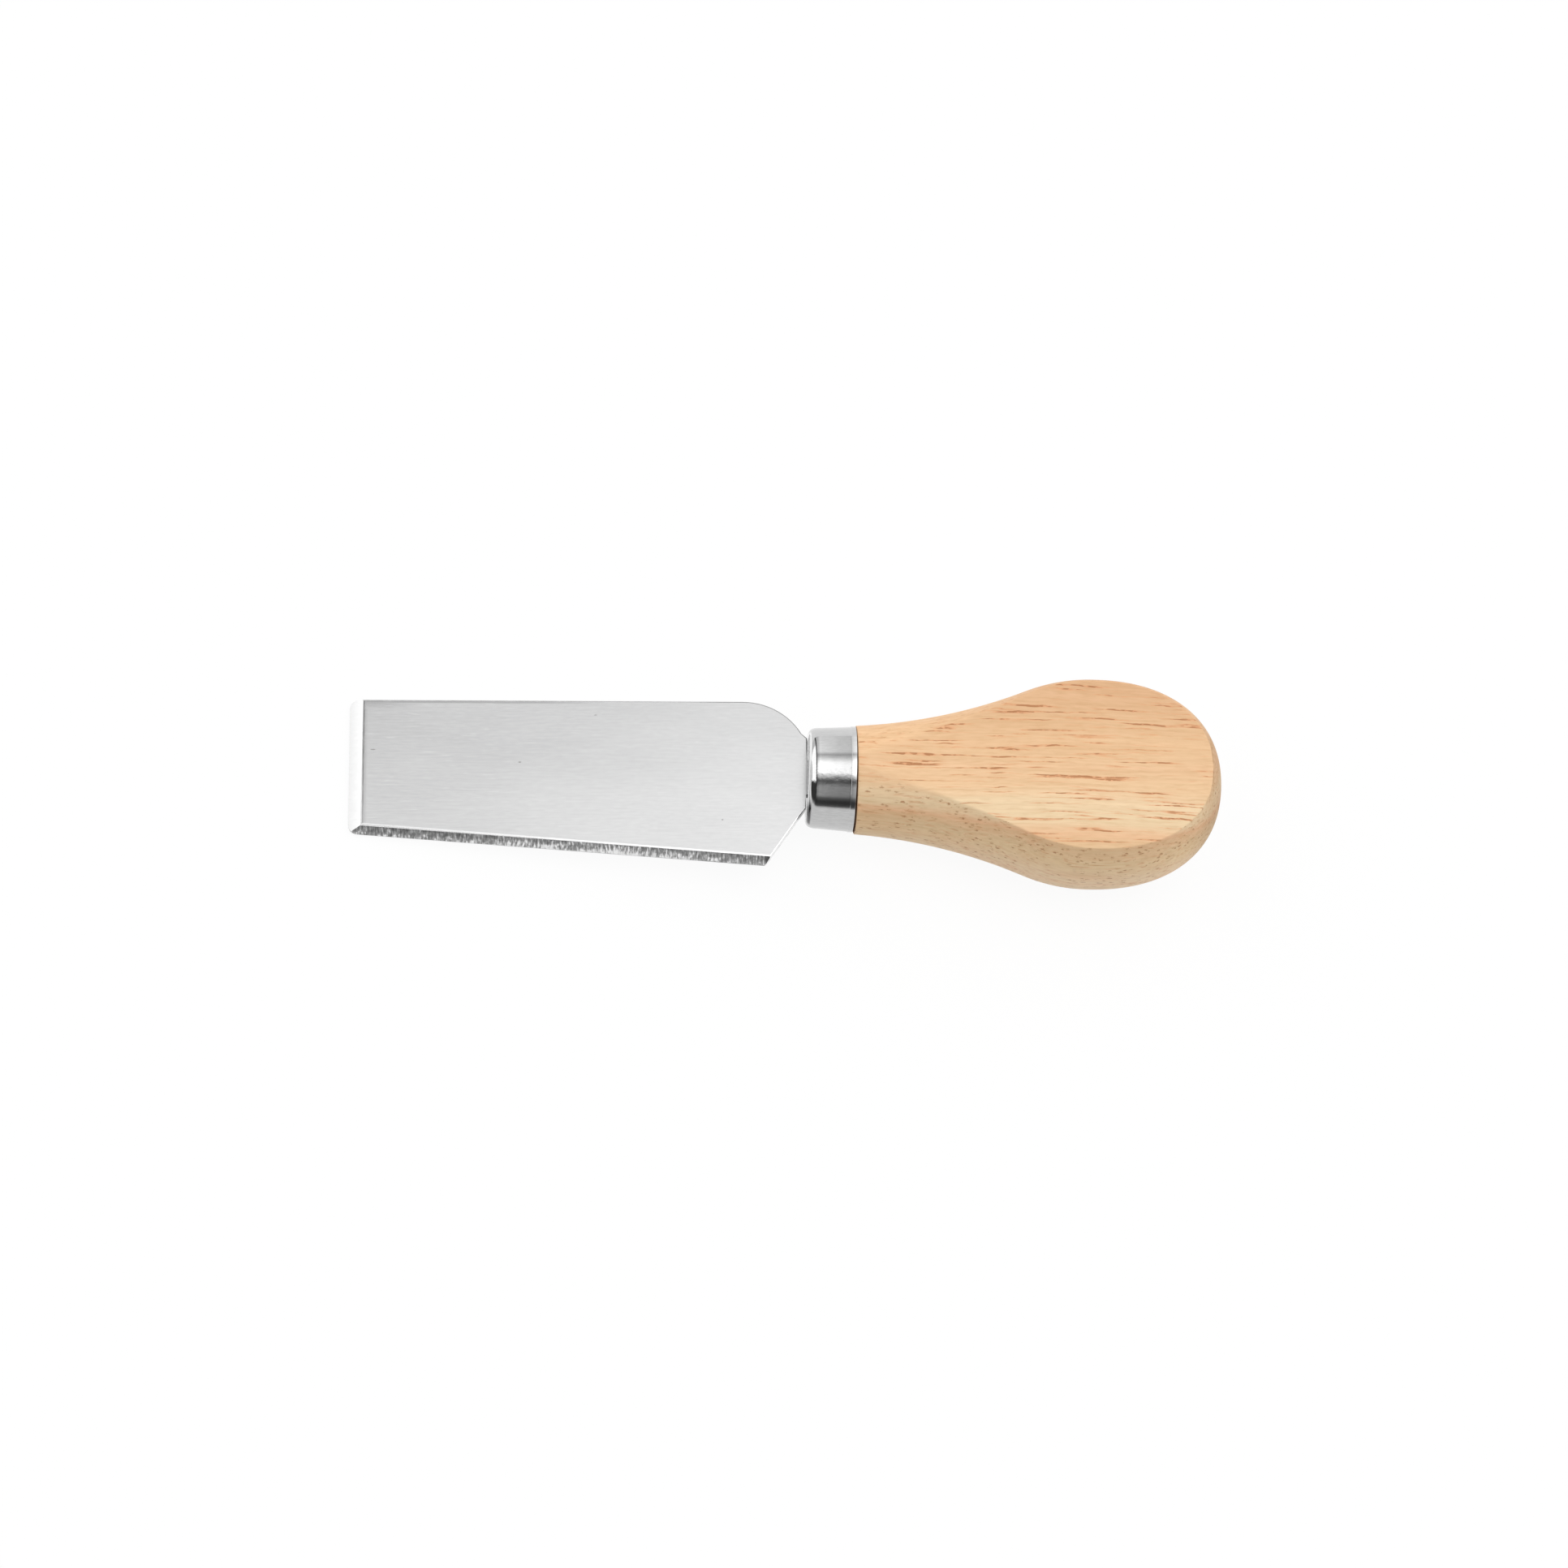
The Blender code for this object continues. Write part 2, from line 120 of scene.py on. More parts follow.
# Camera, in the knife's frame
TARGET = Vector((-0.00336, -0.00084, 0.0))
CAMERA_DISTANCE = 0.7
LOOK_FROM_BELOW = math.radians(22.06)    # from the square of the flats, towards the cutting edge
LOOK_FROM_FRONT = math.radians(3.02)     # and towards the blade
CAMERA_ROLL = math.radians(-0.13)
LENS = 108.7
SENSOR = 36.0
CLIP_START = 0.01
CLIP_END = 20

FLOOR_SIZE = 6.0
FLOOR_WHITE = 0.95
FLOOR_GLOW = 0.93            # how much of the floor that is seen is plain white


def knife_frame():
    """Where the knife's own frame lies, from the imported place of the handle's upper flat."""
    flat = next(mount for mount in frame["record"]["mounts"] if mount["name"] == "handle_flat")
    up = Vector(flat["axis"]).normalized()
    spine = Vector((0, 1, 0))
    turn = Matrix((spine.cross(up), spine, up)).transposed()
    place = Vector((FERRULE_LENGTH + SEAT_GAP + BELLY_FROM_SHOULDER, 0, BOARD_THICKNESS / 2))
    return Matrix.Translation(Vector(flat["pos_m"]) - turn @ place) @ turn.to_4x4()


# Node helpers

def feed(tree, socket, value):
    """Links an output to an input, or sets the input's own value."""
    if isinstance(value, bpy.types.NodeSocket):
        tree.links.new(value, socket)
    else:
        socket.default_value = value


def node(tree, kind, inputs, **settings):
    """A new node with its settings and inputs."""
    made = tree.nodes.new(kind)
    for name, value in settings.items():
        setattr(made, name, value)
    for name, value in inputs.items():
        feed(tree, made.inputs[name], value)
    return made


def calc(tree, operation, *values):
    """One Math node."""
    made = tree.nodes.new("ShaderNodeMath")
    made.operation = operation
    for socket, value in zip(made.inputs, values):
        feed(tree, socket, value)
    return made.outputs[0]


def times(tree, first, second):
    """Product of two values."""
    return calc(tree, "MULTIPLY", first, second)


def rise(tree, value, low, high, bottom=0.0, top=1.0):
    """Goes smoothly from bottom to top as value goes from low to high. Low may be the greater."""
    inputs = {"Value": value, "From Min": low, "From Max": high, "To Min": bottom, "To Max": top}
    return node(tree, "ShaderNodeMapRange", inputs, interpolation_type="SMOOTHSTEP").outputs[0]


def noise(tree, place, sizes, seed, detail=1.0, roughness=0.5):
    """Noise from 0 to 1 whose patches have about these sizes along the piece's axes."""
    scale = [1 / size for size in sizes]
    spot_inputs = {"Vector": place, "Scale": scale, "Location": (seed, -seed, 2 * seed)}
    spot = node(tree, "ShaderNodeMapping", spot_inputs).outputs[0]
    inputs = {"Vector": spot, "Scale": 1.0, "Detail": detail, "Roughness": roughness}
    return node(tree, "ShaderNodeTexNoise", inputs).outputs["Fac"]


def scattered(tree, place, length, width):
    """Distance from scattered points, one in each cell of this length and width, in cell sizes."""
    scale = (1 / length, 1 / width, 1 / width)
    spot = node(tree, "ShaderNodeMapping", {"Vector": place, "Scale": scale}).outputs[0]
    cells = node(tree, "ShaderNodeTexVoronoi", {"Vector": spot, "Scale": 1.0})
    return cells.outputs["Distance"]


def grey(level):
    """An opaque grey."""
    return (level, level, level, 1.0)


def ramp(tree, value, stops):
    """Colours along a value, from (position, colour) pairs."""
    made = node(tree, "ShaderNodeValToRGB", {"Fac": value})
    elements = made.color_ramp.elements
    while len(elements) < len(stops):
        elements.new(0.5)
    for element, (position, colour) in zip(elements, stops):
        element.position = position
        element.color = (*colour[:3], 1.0)
    return made.outputs["Color"]


def blend(tree, share, first, second, mode="MIX"):
    """Mixes two colours."""
    made = node(tree, "ShaderNodeMix", {}, data_type="RGBA", blend_type=mode)
    feed(tree, made.inputs[0], share)
    feed(tree, made.inputs[6], first)
    feed(tree, made.inputs[7], second)
    return made.outputs[2]


def shaded(tree, colour, pattern, dark, light):
    """A colour that is darker where a pattern is low and lighter where it is high."""
    shade = ramp(tree, pattern, [(0.3, dark), (0.5, grey(1.0)), (0.7, light)])
    return blend(tree, 1.0, colour, shade, "MULTIPLY")


def start_material(name, matrix):
    """A material with its tree, its shader and the place in the frame that the matrix sets down."""
    material = bpy.data.materials.new(name)
    material.use_nodes = True
    tree = material.node_tree
    shader = tree.nodes["Principled BSDF"]
    back = matrix.inverted()
    row_place = node(tree, "ShaderNodeTexCoord", {}).outputs["Object"]
    inputs = {"Vector": row_place, "Location": back.translation, "Rotation": tuple(back.to_euler())}
    place = node(tree, "ShaderNodeMapping", inputs).outputs[0]
    return material, tree, shader, place


def bump(tree, shader, height, depth):
    """Raises the surface by a height from 0 to 1, where 1 stands depth metres high."""
    made = node(tree, "ShaderNodeBump", {"Height": height, "Distance": depth, "Strength": 1.0})
    tree.links.new(made.outputs[0], shader.inputs["Normal"])


def axes_of(tree, place):
    """The three coordinates of a place."""
    parts = node(tree, "ShaderNodeSeparateXYZ", {"Vector": place}).outputs
    return parts[0], parts[1], parts[2]


# Steel

def steel(name, matrix, roughness=0.2):
    """Bare stainless steel, to which each kind of surface gives its own colour."""
    material, tree, shader, place = start_material(name, matrix)
    shader.inputs["Metallic"].default_value = 1.0
    shader.inputs["Roughness"].default_value = roughness
    return material, tree, shader, place


# Small dark marks on the blade's upper side: place on the blade, length and width
BLADE_MARKS = [
    (-0.0640, 0.0041, 0.0008, 0.00020),
    (-0.0424, 0.0022, 0.0005, 0.00022),
    (-0.0312, 0.0098, 0.0005, 0.00016),
    (-0.0126, -0.0068, 0.0003, 0.00025),
]


def flat_steel(matrix):
    """Side of the sheet: rolled and faintly brushed, with painted shade along the spine's front and
    beside the ridge, and painted light towards the cutting edge.
    """
    material, tree, shader, place = steel("blade_flat", matrix)
    x, y, z = axes_of(tree, place)
    brush = noise(tree, place, (0.006, 0.00022, 0.01), 3.0, 3.0, 0.6)
    cloud = noise(tree, place, (0.022, 0.009, 0.02), 5.0, 2.0)
    grain = noise(tree, place, (0.0012, 0.0004, 0.001), 6.0, 2.0)
    tone = calc(tree, "ADD", times(tree, brush, 0.35), times(tree, cloud, 0.4))
    tone = calc(tree, "MULTIPLY_ADD", grain, 0.25, tone)
    # Painted light: the colour grows lighter towards the cutting edge, as the light falls on the
    # blade.
    tone = calc(tree, "MULTIPLY_ADD", y, -5.0, tone)
    colour = ramp(tree, tone, [(0.3, (0.470, 0.470, 0.472)), (0.7, grey(0.546))])
    scratch = rise(tree, noise(tree, place, (0.0030, 0.00026, 0.01), 8.0), 0.63, 0.77)
    scratch = times(tree, scratch, rise(tree, x, -0.030, -0.055, 0.12, 0.32))
    colour = blend(tree, scratch, colour, grey(0.66))

    # Painted shade: darker along the front half of the spine and beside the front ridge.
    from_spine = calc(tree, "SUBTRACT", SPINE_HEIGHT, y)
    from_ridge = calc(tree, "SUBTRACT", x, FRONT_GRIND - SEAT_GAP - BLADE_LENGTH)
    spine_shade_line = times(tree, rise(tree, from_spine, 0.0006, 0.0004), rise(tree, x, -0.028, -0.042))
    spine_shade = times(tree, rise(tree, from_spine, 0.0018, 0.0003), rise(tree, x, -0.056, -0.064))
    ridge_shade = rise(tree, from_ridge, 0.0008, 0.0002)
    painted_shade = calc(tree, "MAXIMUM", times(tree, spine_shade_line, 0.27), times(tree, spine_shade, 0.2))
    painted_shade = calc(tree, "MAXIMUM", painted_shade, times(tree, ridge_shade, 0.16))
    colour = blend(tree, painted_shade, colour, grey(0.0))
    for mark_x, mark_y, length, width in BLADE_MARKS:
        along = calc(tree, "DIVIDE", calc(tree, "SUBTRACT", x, mark_x), length / 2)
        across = calc(tree, "DIVIDE", calc(tree, "SUBTRACT", y, mark_y), width / 2)
        away = calc(tree, "MULTIPLY_ADD", along, along, times(tree, across, across))
        mark = times(tree, rise(tree, away, 1.3, 0.4), rise(tree, z, 0.0, 0.0001))
        colour = blend(tree, times(tree, mark, 0.55), colour, (0.18, 0.17, 0.16, 1.0))
    tree.links.new(colour, shader.inputs["Base Color"])
    feed(tree, shader.inputs["Roughness"], rise(tree, brush, 0.3, 0.7, 0.17, 0.23))
    bump(tree, shader, brush, 0.0000015)
    return material


def front_grind_steel(matrix):
    """Ground face along the front edge, nearly polished, brightest beside the ridge."""
    material, tree, shader, place = steel("blade_front_grind", matrix, 0.25)
    x, y, z = axes_of(tree, place)
    marks = noise(tree, place, (0.0016, 0.0005, 0.001), 2.0, 3.0)
    inward = calc(tree, "DIVIDE", calc(tree, "ADD", x, BLADE_LENGTH + SEAT_GAP), FRONT_GRIND)
    tone = calc(tree, "MULTIPLY_ADD", marks, 0.35, times(tree, inward, 0.65))
    colour = ramp(tree, tone, [(0.15, grey(0.55)), (0.85, grey(0.66))])
    tree.links.new(colour, shader.inputs["Base Color"])
    bump(tree, shader, marks, 0.000002)
    return material


def lower_grind_steel(matrix):
    """Ground face along the lower edge, coarse, with a pale burr torn by a wheel square to it."""
    material, tree, shader, place = steel("blade_lower_grind", matrix, 0.3)
    x, y, z = axes_of(tree, place)
    front_x = -SEAT_GAP - BLADE_LENGTH
    ridge_front = SPINE_HEIGHT - FRONT_WIDTH + LOWER_GRIND_FRONT
    slope = -math.tan(LOWER_EDGE_FALL) - (LOWER_GRIND_FRONT - LOWER_GRIND_HEEL) / LOWER_GRIND_RUN
    along = calc(tree, "SUBTRACT", x, front_x)
    ridge = calc(tree, "MULTIPLY_ADD", along, slope, ridge_front)
    depth = calc(tree, "DIVIDE", calc(tree, "SUBTRACT", ridge, y), LOWER_GRIND_HEEL)
    marks = noise(tree, place, (0.00028, 0.0009, 0.01), 1.0, 3.0, 0.6)
    blotch = noise(tree, place, (0.0012, 0.0005, 0.01), 15.0, 2.0)
    patch = noise(tree, place, (0.006, 0.02, 0.02), 4.0, 2.0)
    middle = rise(tree, calc(tree, "ABSOLUTE", calc(tree, "SUBTRACT", along, 0.038)), 0.021, 0.007)
    tone = calc(tree, "ADD", times(tree, marks, 1.05), times(tree, blotch, 0.35))
    tone = calc(tree, "MULTIPLY_ADD", patch, 0.2, calc(tree, "SUBTRACT", tone, 0.2))
    tone = calc(tree, "MULTIPLY_ADD", depth, 0.17, tone)
    paler = times(tree, calc(tree, "SQRT", depth), 0.11)
    tone = calc(tree, "MULTIPLY_ADD", middle, paler, tone)
    heel_end = rise(tree, along, LOWER_GRIND_RUN - 0.0012, LOWER_GRIND_RUN - 0.0004, 0.0, 0.3)
    tone = calc(tree, "SUBTRACT", tone, heel_end)
    stops = [
        (0.40, grey(0.20)),
        (0.60, grey(0.42)),
        (0.74, grey(0.66)),
        (0.86, grey(0.92)),
    ]
    tree.links.new(ramp(tree, tone, stops), shader.inputs["Base Color"])
    feed(tree, shader.inputs["Metallic"], rise(tree, tone, 0.70, 0.96, 1.0, 0.0))
    bump(tree, shader, marks, 0.00002)
    return material


def edge_steel(matrix):
    """Stamped and tumbled edges of the sheet, darker round the heel."""
    material, tree, shader, place = steel("blade_edge", matrix, 0.35)
    marks = noise(tree, place, (0.0006, 0.0006, 0.0002), 7.0, 2.0)
    colour = ramp(tree, marks, [(0.3, grey(0.44)), (0.7, grey(0.56))])
    at_heel = rise(tree, axes_of(tree, place)[0], -0.018, -0.013, 0.0, 0.5)
    colour = blend(tree, at_heel, colour, grey(0.1))
    tree.links.new(colour, shader.inputs["Base Color"])
    bump(tree, shader, marks, 0.000008)
    return material


def heel_cut_steel(matrix):
    """Edge of the heel's cut, near white as a painted highlight, with a dark burr at its lower rim.
    """
    material, tree, shader, place = steel("blade_heel_cut", matrix, 0.3)
    marks = noise(tree, place, (0.0005, 0.0005, 0.0002), 13.0, 2.0)
    # Painted highlight: a near-white colour for the cut.
    colour = ramp(tree, marks, [(0.35, grey(0.84)), (0.65, grey(0.93))])
    burr = rise(tree, noise(tree, place, (0.0009, 0.0009, 0.004), 29.0, 2.0), 0.46, 0.54)
    height = axes_of(tree, place)[2]
    burr = times(tree, burr, rise(tree, height, -0.0002, -0.0005, 0.0, 0.85))
    colour = blend(tree, burr, colour, grey(0.22))
    tree.links.new(colour, shader.inputs["Base Color"])
    bump(tree, shader, marks, 0.000006)
    return material


def ridge_steel(matrix):
    """Narrow polished line that the wheel leaves beside the lower ground face."""
    material, tree, shader, place = steel("blade_ridge", matrix)
    shader.inputs["Base Color"].default_value = grey(0.57)
    marks = noise(tree, place, (0.002, 0.0003, 0.001), 9.0, 2.0)
    feed(tree, shader.inputs["Roughness"], rise(tree, marks, 0.3, 0.7, 0.16, 0.28))
    bump(tree, shader, marks, 0.000003)
    return material


def front_ridge_steel(matrix):
    """Painted shade: a dark line where the front ground face meets the side."""
    material, tree, shader, place = steel("blade_front_ridge", matrix, 0.3)
    marks = noise(tree, place, (0.0003, 0.0015, 0.001), 12.0, 2.0)
    # Painted shade: a dark colour for the line.
    colour = ramp(tree, marks, [(0.3, grey(0.25)), (0.7, grey(0.39))])
    tree.links.new(colour, shader.inputs["Base Color"])
    bump(tree, shader, marks, 0.000004)
    return material


def ferrule_steel(matrix):
    """Drawn and polished steel, dented on one stretch of its wall and worn rougher below it, where
    painted shade darkens its colour.

    Its front rim has a painted highlight, and a painted dark reflection low down.
    """
    material, tree, shader, place = steel("ferrule_polished", matrix)
    x, y, z = axes_of(tree, place)
    wave = noise(tree, place, (0.0030, 0.0040, 0.0040), 6.0, 1.0)
    dents = noise(tree, place, (0.0009, 0.0007, 0.0007), 14.0, 2.0, 0.5)
    worn = rise(tree, calc(tree, "ABSOLUTE", calc(tree, "ADD", y, 0.0026)), 0.0022, 0.0008)
    hair = noise(tree, place, (0.0011, 0.00025, 0.00025), 2.5, 3.0)
    colour = ramp(tree, hair, [(0.3, grey(0.57)), (0.7, grey(0.63))])
    # Below, towards the cutting edge: rougher, and darker as painted shade.
    shade_and_rub = rise(tree, y, -0.0042, -0.0058)
    painted_shade = ramp(tree, hair, [(0.35, grey(0.48)), (0.65, grey(0.53))])
    colour = blend(tree, shade_and_rub, colour, painted_shade)
    # Painted highlight on the front rim.
    radius = calc(tree, "SQRT", calc(tree, "MULTIPLY_ADD", y, y, times(tree, z, z)))
    rim = times(tree, rise(tree, x, 0.00040, 0.00025), rise(tree, radius, 0.0058, 0.0062))
    rim = times(tree, rim, rise(tree, calc(tree, "ABSOLUTE", y), 0.0058, 0.0048))
    colour = blend(tree, rim, colour, grey(0.95))
    # Painted dark reflection low on the front rim.
    painted_dark_reflection = times(tree, rise(tree, x, 0.00065, 0.00038), rise(tree, y, -0.0055, -0.0062))
    painted_dark_reflection = times(tree, painted_dark_reflection, rise(tree, z, -0.0012, 0.0002))
    colour = blend(tree, painted_dark_reflection, colour, grey(0.10))
    tree.links.new(colour, shader.inputs["Base Color"])
    feed(tree, shader.inputs["Roughness"], calc(tree, "MULTIPLY_ADD", shade_and_rub, 0.08, 0.07))
    height = calc(tree, "MULTIPLY_ADD", times(tree, dents, worn), 1.1, wave)
    bump(tree, shader, height, 0.00002)
    return material


# Wood

# Colours of the growth layers, from the lower side of the board to the upper one. The greyer and
# darker stops are partly painted shade of the turned side, which faces away from the light.
GROWTH_LAYERS_AND_SHADE = [
    (0.18, (0.84, 0.66, 0.45)),
    (0.32, (0.84, 0.63, 0.41)),
    (0.42, (0.79, 0.58, 0.34)),
    (0.48, (0.73, 0.52, 0.30)),
    (0.515, (0.73, 0.48, 0.27)),
    (0.530, (0.77, 0.475, 0.27)),
    (0.560, (0.80, 0.60, 0.37)),
    (0.610, (0.82, 0.63, 0.395)),
    (0.650, (0.80, 0.54, 0.31)),
    (0.700, (0.79, 0.515, 0.295)),
    (0.760, (0.78, 0.51, 0.285)),
    (0.870, (0.70, 0.425, 0.23)),
    (1.000, (0.69, 0.40, 0.21)),
]
LAYERS_DEPTH = 0.04          # depth of all the layers together
LAYER_SLANT = 0.6            # rise of a layer for its run across the board


def wood_places(tree, place):
    """Coordinates that follow the fibres, which wander a little across the board."""
    x, y, z = axes_of(tree, place)
    wander_y = calc(tree, "SUBTRACT", noise(tree, place, (0.05, 0.012, 0.012), 11.0), 0.5)
    wander_z = calc(tree, "SUBTRACT", noise(tree, place, (0.04, 0.012, 0.012), 17.0), 0.5)
    y_along = calc(tree, "MULTIPLY_ADD", wander_y, 0.003, y)
    y_along = calc(tree, "ADD", y_along, times(tree, x, 0.02))
    z_along = calc(tree, "MULTIPLY_ADD", wander_z, 0.003, z)
    ripple = calc(tree, "SUBTRACT", noise(tree, place, (0.0024, 0.0007, 0.0007), 19.0, 2.0), 0.5)
    y_along = calc(tree, "MULTIPLY_ADD", ripple, 0.0004, y_along)
    joined = node(tree, "ShaderNodeCombineXYZ", {"X": x, "Y": y_along, "Z": z_along}).outputs[0]
    return joined, y_along, z_along


def wood_colour(tree, y, z):
    """Colour of the growth layers, which slant through the board, with painted shade of the turned
    side mixed in.
    """
    layer = calc(tree, "MULTIPLY_ADD", y, LAYER_SLANT, z)
    return ramp(tree, calc(tree, "MULTIPLY_ADD", layer, 1 / LAYERS_DEPTH, 0.5), GROWTH_LAYERS_AND_SHADE)


def pores(tree, fibre_place, side):
    """Shares of the long pores, of the stained wood beside them and of the short dark pores."""
    across = axes_of(tree, fibre_place)[1]
    crowd = noise(tree, fibre_place, (0.035, 0.0030, 0.0030), 31.0, 1.0)
    lines = noise(tree, fibre_place, (0.012, 0.00042, 0.00042), 33.0, 1.0)
    lines = calc(tree, "MULTIPLY_ADD", crowd, 0.08, lines)
    lines = calc(tree, "ADD", lines, rise(tree, across, -0.001, 0.006, -0.006, 0.016))
    dash = noise(tree, fibre_place, (0.0013, 0.00040, 0.00040), 37.0, 2.0)
    on_flat = calc(tree, "MULTIPLY_ADD", side, -0.65, 1.0)
    stain = times(tree, rise(tree, lines, 0.608, 0.708), rise(tree, dash, 0.34, 0.50, 0.35, 1.0))
    stain = times(tree, stain, on_flat)
    core = times(tree, rise(tree, lines, 0.660, 0.730), rise(tree, dash, 0.44, 0.56, 0.10, 1.0))
    core = times(tree, core, on_flat)
    few = rise(tree, noise(tree, fibre_place, (0.008, 0.0016, 0.0016), 41.0, 2.0), 0.38, 0.54)
    ragged = noise(tree, fibre_place, (0.0004, 0.00018, 0.00018), 43.0, 3.0, 0.6)
    from_dot = scattered(tree, fibre_place, 0.0014, 0.0006)
    dot = rise(tree, calc(tree, "MULTIPLY_ADD", ragged, 1.1, from_dot), 0.90, 0.58)
    dot = times(tree, dot, rise(tree, across, 0.004, -0.001, 0.35, 1.0))
    return core, stain, times(tree, times(tree, dot, few), side)


def wood(matrix):
    """Pale wood with slanting growth layers, fine fibres and red-brown pores cut open, with painted
    shade mixed into its layer colours and end grain.
    """
    material, tree, shader, place = start_material("handle_wood_grain", matrix)
    fibre_place, y, z = wood_places(tree, place)
    normal = axes_of(tree, node(tree, "ShaderNodeTexCoord", {}).outputs["Normal"])
    side = rise(tree, calc(tree, "ABSOLUTE", normal[2]), 0.98, 0.80)
    colour = wood_colour(tree, y, z)
    bands = noise(tree, fibre_place, (0.12, 0.0022, 0.0022), 21.0, 2.0)
    colour = blend(tree, rise(tree, bands, 0.35, 0.7, 0.0, 0.30), colour, (0.84, 0.52, 0.30, 1.0))
    fibre = noise(tree, fibre_place, (0.028, 0.00060, 0.00060), 23.0, 3.0, 0.65)
    colour = shaded(tree, colour, fibre, (0.94, 0.91, 0.88), (1.04, 1.06, 1.08))
    fleck = noise(tree, fibre_place, (0.0022, 0.00035, 0.00035), 27.0, 3.0)
    colour = shaded(tree, colour, fleck, (0.95, 0.92, 0.89), (1.03, 1.04, 1.06))

    core, stain, dot = pores(tree, fibre_place, side)
    colour = blend(tree, times(tree, stain, 0.80), colour, (0.76, 0.35, 0.17, 1.0))
    colour = blend(tree, times(tree, core, 0.72), colour, (0.36, 0.15, 0.05, 1.0))
    colour = blend(tree, times(tree, dot, 0.75), colour, (0.40, 0.15, 0.05, 1.0))

    # End grain is darker, and darker still here as painted shade of the butt's rim, which faces
    # away from the light.
    end_grain_and_shade = rise(tree, calc(tree, "ABSOLUTE", normal[0]), 0.45, 0.95)
    darker = blend(tree, 1.0, colour, (0.70, 0.66, 0.62, 1.0), "MULTIPLY")
    colour = blend(tree, end_grain_and_shade, colour, darker)
    tree.links.new(colour, shader.inputs["Base Color"])
    feed(tree, shader.inputs["Roughness"], rise(tree, fibre, 0.3, 0.7, 0.62, 0.52))
    shader.inputs["Specular IOR Level"].default_value = 0.3
    open_pores = calc(tree, "MAXIMUM", core, times(tree, dot, 0.05))
    height = calc(tree, "SUBTRACT", times(tree, fibre, 0.4), open_pores)
    bump(tree, shader, height, 0.00002)
    return material


def joint_wood(matrix):
    """Wood of the spigot and of the shoulder's foot, darkened as painted shade of the gap at the
    ferrule's mouth.
    """
    material, tree, shader, place = start_material("handle_joint_shade", matrix)
    stain = noise(tree, place, (0.001, 0.001, 0.001), 51.0, 2.0)
    # Painted shade: a dark brown for the wood inside the joint.
    colour = ramp(tree, stain, [(0.3, (0.26, 0.13, 0.07)), (0.7, (0.42, 0.23, 0.13))])
    tree.links.new(colour, shader.inputs["Base Color"])
    shader.inputs["Roughness"].default_value = 0.8
    bump(tree, shader, stain, 0.00003)
    return material


# Shapes

def piece_from(bm, name, materials, matrix):
    """Turns a bmesh into a smooth shaded piece, set down by the matrix. Real edges stay sharp."""
    bm.transform(matrix)
    mesh = bpy.data.meshes.new(name)
    bm.to_mesh(mesh)
    bm.free()
    mesh.shade_smooth()
    mesh.set_sharp_from_angle(angle=SHARP_ANGLE)
    for material in materials:
        mesh.materials.append(material)
    piece = bpy.data.objects.new(name, mesh)
    bpy.context.scene.collection.objects.link(piece)
    return piece


def dress(piece, node_name):
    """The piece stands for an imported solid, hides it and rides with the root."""
    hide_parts(node_name)
    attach(piece, "root")


def arc(centre, radius, start, end, steps):
    """Points on an arc, both ends included. The angles are in radians."""
    points = []
    for i in range(steps + 1):
        angle = start + (end - start) * i / steps
        x = centre[0] + radius * math.cos(angle)
        points.append(Vector((x, centre[1] + radius * math.sin(angle))))
    return points


# Blade

FLAT, FRONT, LOWER, EDGE, HEEL_CUT, RIDGE, FRONT_RIDGE = range(7)
SIDE_FACING = 0.995          # least share of Z in the normal of a face that belongs to a side
EDGE_FACING = 0.3            # most share of Z in the normal of a stamped edge
HEEL_FACING = 0.3            # least share of X, and of -Y, in the normal of the heel's cut
HEEL_RIM_FACING = 0.1        # and in the normal of its rims
SHADE_LINE_TURN = 0.19             # how far the half of the front ridge that takes the painted shade line turns away from the side


def faces_heel(normal, least):
    """Whether a normal points back and down, as the heel's cut does."""
    return normal.x > least and normal.y < -least


def face_kind(face):
    """Which surface of the blade a face belongs to, from the way it faces."""
    normal = face.normal
    if abs(normal.z) > SIDE_FACING:
        return FLAT
    if abs(normal.z) < EDGE_FACING:
        return HEEL_CUT if faces_heel(normal, HEEL_FACING) else EDGE
    return FRONT if abs(normal.x) > abs(normal.y) else LOWER


def edges_between(bm, first, second):
    """Edges of the blade proper between two kinds of face."""
    found = []
    for edge in bm.edges:
        kinds = {face.material_index for face in edge.link_faces}
        in_front = sum(vertex.co.x for vertex in edge.verts) / 2 < SEAT_GAP
        if kinds == {first, second} and in_front:
            found.append(edge)
    return found


def seat_shoulder(bm):
    """Brings the blade's shoulder up to the leaning front face of the ferrule."""
    turn = BLADE_LEAN - FERRULE_LEAN
    for vertex in bm.verts:
        beyond_tang = abs(vertex.co.y) > TANG_WIDTH / 2 - MERGE_DISTANCE
        if beyond_tang and abs(vertex.co.x + SEAT_GAP) < PLACE_TOLERANCE:
            vertex.co.x = vertex.co.y * math.tan(turn) - SEATED_GAP


def round_ridges(bm):
    """Rounds the ridges of both ground faces at once, as they meet at the mitre."""
    ridges = edges_between(bm, FLAT, LOWER) + edges_between(bm, FLAT, FRONT)
    made = bmesh.ops.bevel(bm, geom=ridges, offset=RIDGE_ROUND, segments=RIDGE_STEPS, profile=0.5,
                           affect="EDGES", clamp_overlap=False)
    for face in made["faces"]:
        face.normal_update()
        if abs(face.normal.y) > abs(face.normal.x):
            face.material_index = RIDGE
        else:
            face.material_index = FRONT_RIDGE if abs(face.normal.x) < SHADE_LINE_TURN else FRONT


